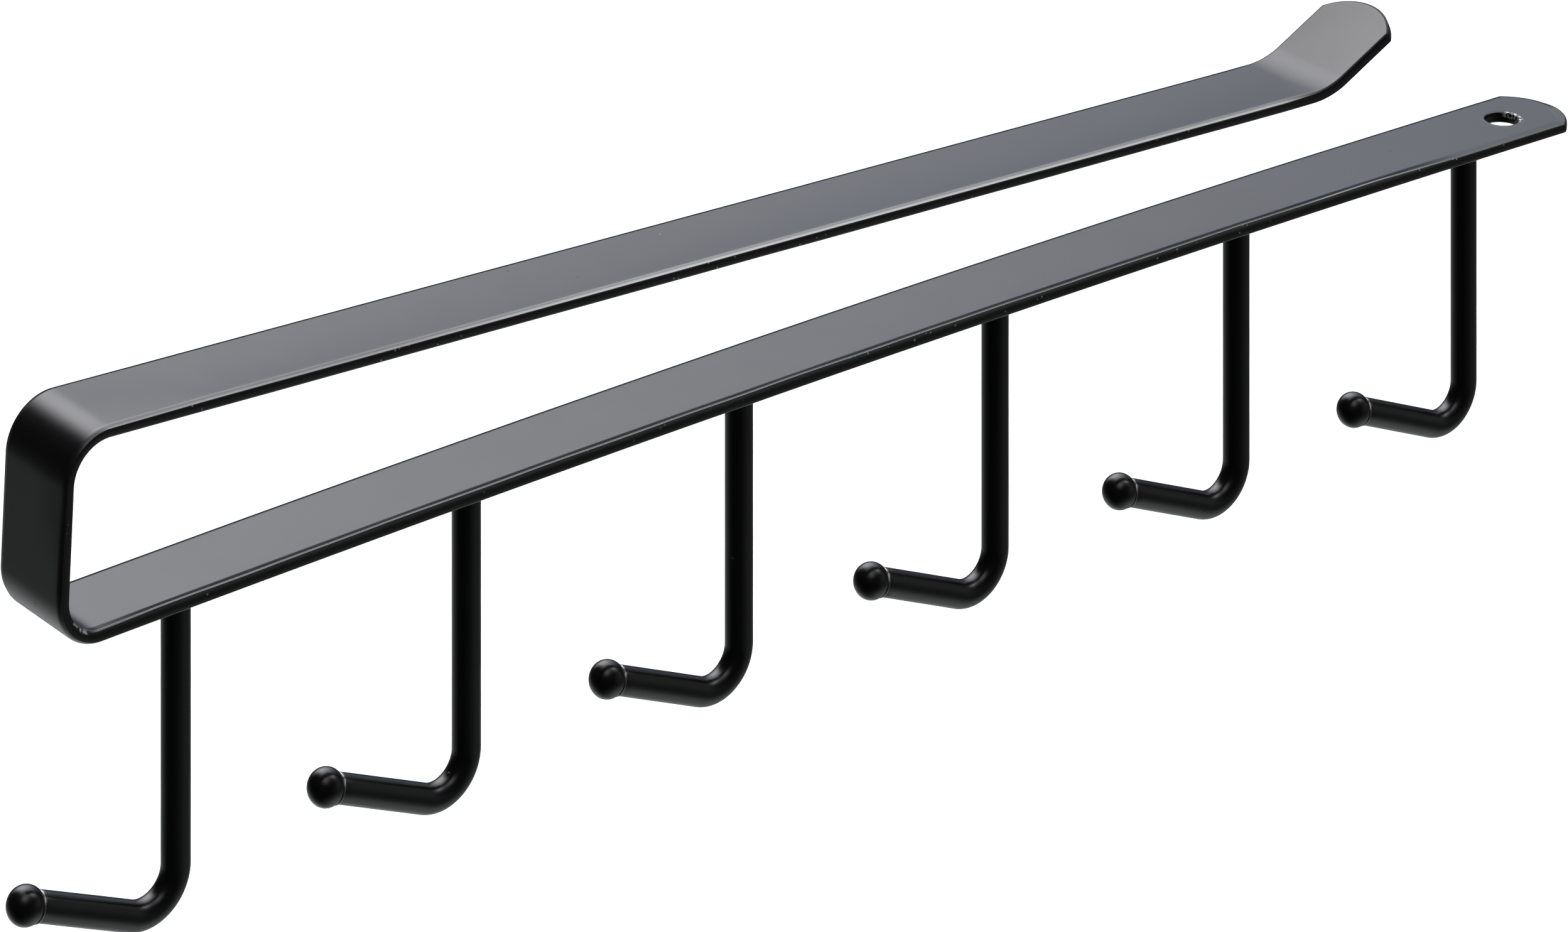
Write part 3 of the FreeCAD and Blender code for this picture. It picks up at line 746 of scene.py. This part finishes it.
def build_ball(index):
    """Ball on the end of the wire, a little out of round."""
    shell = Shell()
    centre, axis = ball_centre(index), turned(math.pi - RISE)
    falls = [math.pi * k / BALL_STEPS for k in range(1, BALL_STEPS)]
    section = [(BALL * math.sin(fall), BALL * math.cos(fall)) for fall in falls]

    def uneven(turn, radius, distance):
        return BALL_UNEVEN * wobble(math.cos(turn) * radius, math.sin(turn) * radius,
                                    distance + index * 7, BALL_UNEVEN_SIZE) - BALL_SLACK

    rings = revolved(shell, section, centre, axis, uneven)
    for first, second in zip(rings, rings[1:]):
        shell.band(first, second)
    for ring, distance in ((rings[0], BALL), (rings[-1], -BALL)):
        pole = centre + axis * distance * BALL_POLE
        shell.cap(ring, shell.add((pole.x, 0, pole.y)))
    return shell.piece(f"ball_{index + 1}", f"ball_tip_{index + 1}", ROD_COAT)


def weld_ring(name, node, section, centre, axis, lumps, depth, seed, shine):
    """Closed ring of weld metal, rippled around its run everywhere but on its inside."""
    shell = Shell()
    inside = section[0][0] + WELD_INSIDE

    def uneven(turn, radius, distance):
        run = wobble(math.cos(turn) * LUMP_RUN, math.sin(turn) * LUMP_RUN, seed, LUMP_SIZE)
        lump = LUMP_SHARE * math.cos(lumps * turn + seed) + run
        return depth * lump * (radius > inside)

    # the whole ring carries the given painted light
    rings = revolved(shell, section, centre, axis, uneven, shine=shine)
    for first, second in zip(rings, rings[1:] + rings[:1]):
        shell.band(first, second)
    return shell.piece(name, node, WELD_COAT)


# weld sections as (distance beyond the rod's radius, distance along the axis): the collar from
# the strip's underside down the rod, and the bead from the rod's end towards the ball
COLLAR = [(-0.25, 0.25), (0.78, 0.25), (0.74, 0.02), (0.52, -0.14),
          (0.30, -0.34), (0.13, -0.62), (0.03, -0.86), (-0.25, -0.95)]
BEAD = [(-0.55, -0.12), (-0.55, 0.30), (-0.12, 0.30), (0.04, 0.20),
        (0.11, 0.09), (0.07, -0.02), (-0.10, -0.09), (-0.30, -0.12)]


def build_welds(index):
    x, top = hook_place(index)
    collar = [(ROD + out, along) for out, along in COLLAR]
    weld_ring(f"collar_{index + 1}", f"hook_weld_{index + 1}", collar, Vector((x, top)),
              Vector((0, 1)), lumps=11, depth=0.05, seed=index * 3.1, shine=0)
    # the bead carries a strong painted highlight round the ball's neck, the collar none
    bead = [(ROD + out, along - SEAT) for out, along in BEAD]
    weld_ring(f"bead_{index + 1}", f"ball_weld_{index + 1}", bead, ball_centre(index),
              turned(math.pi - RISE), lumps=9, depth=0.03, seed=40 + index * 2.7, shine=2.5)


build_strip()
for index in range(HOOKS):
    build_wire(index)
    build_ball(index)
    build_welds(index)

# ------------------------------------------------------------------ floor and light

FLOOR_Z, FLOOR_HALF = -0.40, 6.0      # metres
FLOOR_GREY = 0.6


def floor_material():
    """Pale floor that reads as clean white to the camera."""
    material = bpy.data.materials.new("pale_floor")
    tree = Tree(material)
    matt = tree.add("ShaderNodeBsdfDiffuse", Color=grey(FLOOR_GREY))
    seen = tree.add("ShaderNodeLightPath").outputs["Is Camera Ray"]
    glow = tree.add("ShaderNodeEmission", Strength=seen)
    both = tree.add("ShaderNodeAddShader")
    tree.feed(both.inputs[0], matt.outputs[0])
    tree.feed(both.inputs[1], glow.outputs[0])
    tree.add("ShaderNodeOutputMaterial", Surface=both.outputs[0])
    return material


def build_floor():
    mesh = bpy.data.meshes.new("floor")
    corners = [(x * FLOOR_HALF, y * FLOOR_HALF, FLOOR_Z)
               for x, y in ((-1, -1), (1, -1), (1, 1), (-1, 1))]
    mesh.from_pydata(corners, [], [(0, 1, 2, 3)])
    mesh.materials.append(floor_material())
    floor = bpy.data.objects.new("floor", mesh)
    bpy.context.scene.collection.objects.link(floor)
    floor.visible_glossy = False
    floor.visible_diffuse = False


# soft patches of light around the object: azimuth from +Y towards +X and elevation in degrees,
# strength, tightness (the larger, the smaller the patch), colour
MAIN_LIGHT = (15, 46, 5.2, 9, (0.94, 0.94, 0.98))   # large softbox behind and above
LIGHTS = [
    (44, 17, 0.25, 25, (0.30, 0.60, 1.00)),    # bluish low glow on the open-end side
    (98, 56, 4.60, 32, (0.98, 0.97, 1.00)),    # small softbox high on the open-end side
    (218, 62, 1.50, 31, (0.98, 0.97, 1.00)),   # strip light overhead, its end near the camera
    (165, 76, 1.00, 25, (0.98, 0.97, 1.00)),   # the same strip light, its middle
    (118, 16, 0.22, 14, (0.97, 1.00, 1.00)),   # dim wall on the near side
    (145, 2, 0.10, 14, (0.97, 1.00, 1.00)),    # dimmer wall beside the camera
    (76, -22, 0.07, 10, (0.96, 1.00, 1.00)),   # faint low light on the open-end side
    (0, -48, 0.66, 8, (0.95, 1.00, 1.00)),     # light off the floor, behind
    (70, -68, 0.42, 6, (0.96, 1.00, 1.00)),    # light off the floor, below
    (135, -55, 0.40, 12, (0.96, 1.00, 1.00)),  # light off the floor, near side
    (170, -60, 0.18, 8, (0.96, 1.00, 1.00)),   # light off the floor, under the camera
    (-40, -42, 0.15, 10, (0.95, 1.00, 1.00)),  # light off the floor, bent-end side
    (-140, 45, 0.04, 2, (1.00, 1.00, 1.00)),   # weak room light behind the camera
]
DOOR = (-60, 15)                # direction of the panel that shades the main light
DOOR_ANGLES = (41, 66)          # no main light inside the first angle, all of it past the second
HORIZON_ANGLES = (6, 17)        # the main light fades between these elevations
AMBIENT = 0.006


def toward(azimuth, elevation):
    a, e = math.radians(azimuth), math.radians(elevation)
    return math.sin(a) * math.cos(e), math.cos(a) * math.cos(e), math.sin(e)


def build_world():
    """The light around the object. The camera itself sees a plain white backdrop."""
    world = bpy.data.worlds.new("studio")
    bpy.context.scene.world = world
    tree = Tree(world)
    incoming = tree.add("ShaderNodeNewGeometry").outputs["Incoming"]

    def near(azimuth, elevation):
        """Cosine of the angle between the looked-at direction and another one."""
        return tree.vector("DOT_PRODUCT", incoming, [-v for v in toward(azimuth, elevation)])

    def patch(azimuth, elevation, strength, tightness):
        power = tree.maths("MULTIPLY", tree.maths("SUBTRACT", near(azimuth, elevation), 1.0),
                           tightness)
        return tree.maths("MULTIPLY", tree.maths("EXPONENT", power), strength)

    hidden, open_ = (math.cos(math.radians(angle)) for angle in DOOR_ANGLES)
    low, high = (math.sin(math.radians(angle)) for angle in HORIZON_ANGLES)
    main = tree.maths("MULTIPLY", patch(*MAIN_LIGHT[:4]), tree.step(near(*DOOR), hidden, open_))
    main = tree.maths("MULTIPLY", main, tree.step(near(0, 90), low, high))
    total = tree.vector("SCALE", MAIN_LIGHT[4], Scale=main)
    for *place, colour in LIGHTS:
        total = tree.vector("ADD", total, tree.vector("SCALE", colour, Scale=patch(*place)))
    total = tree.vector("ADD", total, [AMBIENT] * 3)
    sky = tree.add("ShaderNodeBackground", Color=total, Strength=1.0)
    backdrop = tree.add("ShaderNodeBackground", Color=grey(1.0), Strength=1.0)
    seen = tree.add("ShaderNodeLightPath").outputs["Is Camera Ray"]
    both = tree.add("ShaderNodeMixShader", Fac=seen)
    tree.feed(both.inputs[1], sky.outputs[0])
    tree.feed(both.inputs[2], backdrop.outputs[0])
    tree.add("ShaderNodeOutputWorld", Surface=both.outputs[0])


build_floor()
build_world()

# ------------------------------------------------------------------ camera

CAMERA_PLACE = (-0.62316, -0.77006, 0.42504)      # metres
CAMERA_HEADING = 38.25                            # degrees from +Y towards +X
LENS, SENSOR = 152.875, 36                        # mm
SHIFT = -1.9117
NEAR_CLIP, FAR_CLIP = 0.01, 50
AT_HOME = 0.001

cam = bpy.data.objects.new("camera", bpy.data.cameras.new("camera"))
bpy.context.scene.collection.objects.link(cam)
cam.location = CAMERA_PLACE
cam.rotation_euler = (math.radians(90), 0, math.radians(-CAMERA_HEADING))
cam.data.lens = LENS
cam.data.sensor_width = SENSOR
cam.data.sensor_fit = "HORIZONTAL"
cam.data.clip_start, cam.data.clip_end = NEAR_CLIP, FAR_CLIP
bpy.context.scene.camera = cam

# the lens is shifted only while the camera stands at its own place
driver = cam.data.driver_add("shift_y").driver
driver.type = "SCRIPTED"
terms = []
for name, axis, home in zip("xyz", ("LOC_X", "LOC_Y", "LOC_Z"), CAMERA_PLACE):
    variable = driver.variables.new()
    variable.name = name
    variable.type = "TRANSFORMS"
    target = variable.targets[0]
    target.id = cam
    target.transform_type = axis
    target.transform_space = "WORLD_SPACE"
    terms.append(f"abs({name} - {home})")
driver.expression = f"{SHIFT} * ({' + '.join(terms)} < {AT_HOME})"

bpy.context.scene.view_settings.view_transform = "Standard"

bpy.context.view_layer.update()
